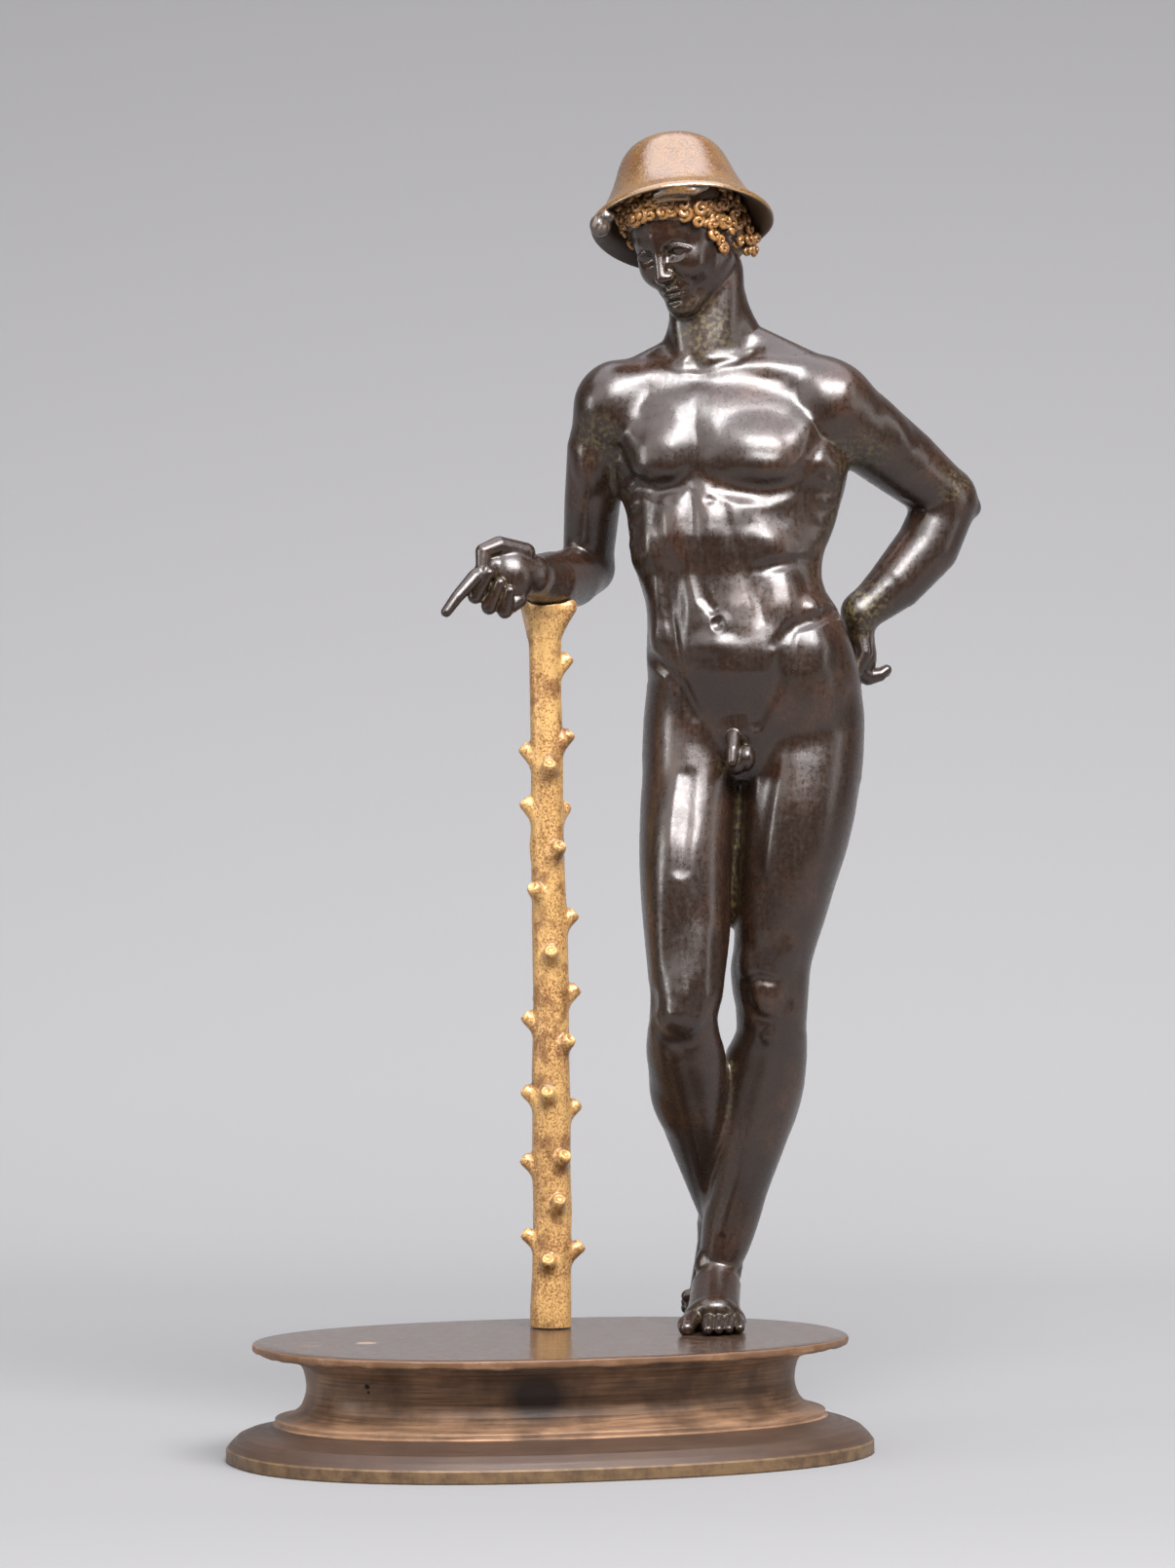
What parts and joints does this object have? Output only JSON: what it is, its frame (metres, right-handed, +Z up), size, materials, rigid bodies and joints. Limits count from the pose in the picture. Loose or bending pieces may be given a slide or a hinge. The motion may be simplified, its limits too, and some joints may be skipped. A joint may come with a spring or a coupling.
{
  "type": "roman bronze mercury statuette",
  "caption": "Bronze statuette of a cross-legged nude youth in a gilded brimmed hat, leaning one forearm on a gilded knotty branch, on an oval moulded plinth.",
  "frame": {"origin": "middle of the plinth's underside", "axes": "+Z up; X along the plinth's long axis, with the figure towards +X; the front is towards -Y"},
  "size_m": [0.2168, 0.1178, 0.355],
  "materials": {
    "bronze": "dark brown patinated bronze, waxed, with rubbed reddish places; hat and hair gilded",
    "gilding": "worn gilding, granular, brown in the hollows",
    "plinth_bronze": "brown bronze, waxed, brassy on worn edges, with a darker plate"
  },
  "bodies": {
    "root": {"youth": "bronze", "branch": "gilding", "plinth": "plinth_bronze"}
  },
  "joints": []
}
